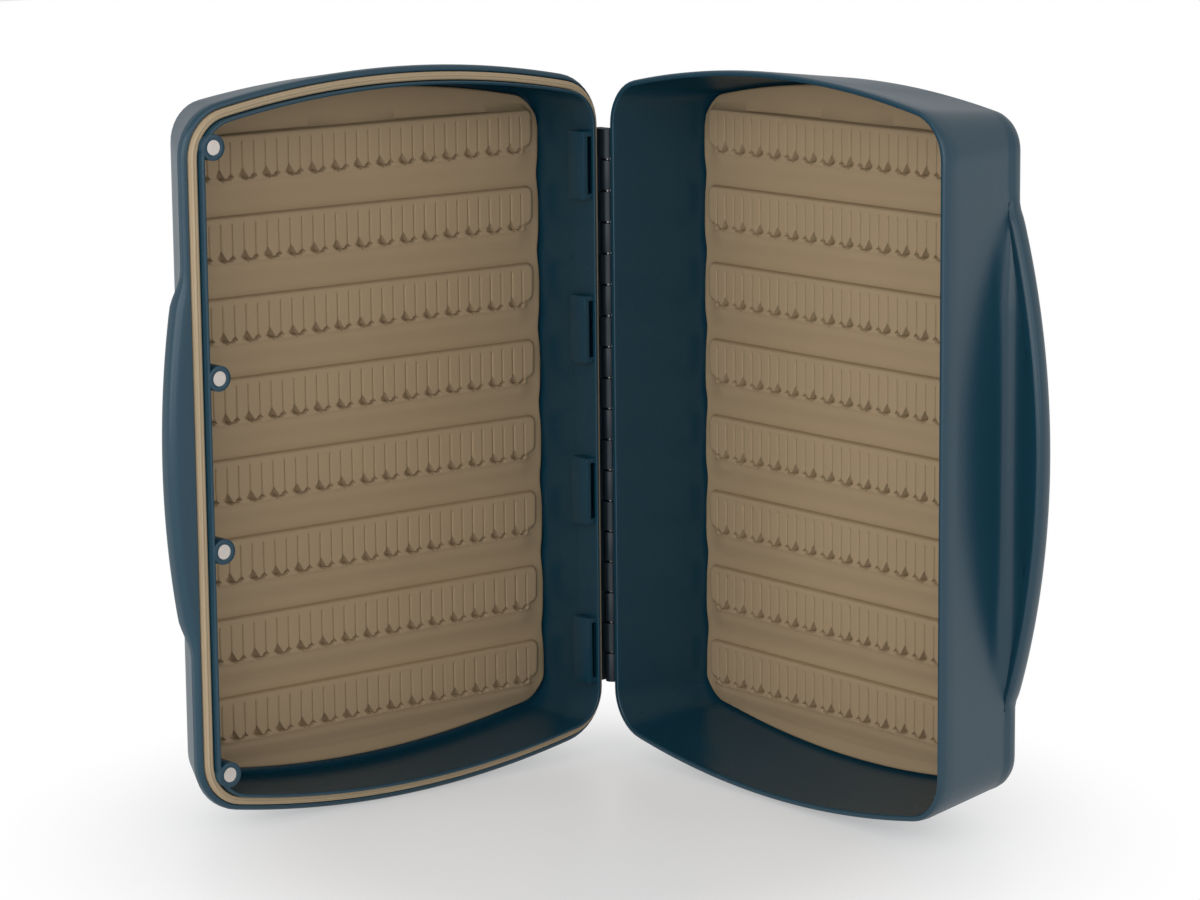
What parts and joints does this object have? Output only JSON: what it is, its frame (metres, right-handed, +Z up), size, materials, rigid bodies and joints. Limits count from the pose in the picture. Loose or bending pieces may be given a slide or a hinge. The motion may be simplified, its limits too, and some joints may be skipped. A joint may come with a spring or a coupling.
{
  "type": "fly box",
  "caption": "Hinged two-sided box for fishing flies, with bowed ends, a grip wing on each opening side and a soft mat of slit fingers in each half.",
  "frame": {"origin": "On the ground below the middle of the open box as it stands on its lower ends.", "axes": "+Z up along the hinge pin; +X across the base from the hinge towards its opening side; +Y out of the base's back. The open lid runs along -Y from the hinge and its inside faces +X."},
  "size_m": [0.2367, 0.246, 0.275],
  "materials": {
    "shell": "satin",
    "insert": "matte",
    "adhesive": "matte",
    "gasket": "matte",
    "magnet": "polished",
    "steel": "polished"
  },
  "bodies": {
    "base": {"base_shell": "shell", "base_insert": "insert", "base_adhesive": "adhesive", "hinge_pin": "steel"},
    "lid": {"lid_shell": "shell", "lid_insert": "insert", "lid_adhesive": "adhesive", "lid_gasket": "gasket", "lid_magnet_1": "magnet", "lid_magnet_2": "magnet", "lid_magnet_3": "magnet", "lid_magnet_4": "magnet"}
  },
  "joints": [
    {"name": "lid_hinge", "type": "hinge", "parent": "base", "child": "lid", "pos_m": [-0.0792, 0.07575, 0.1375], "axis": [0, 0, 1], "range_deg": [-90.75, 89.25]}
  ]
}
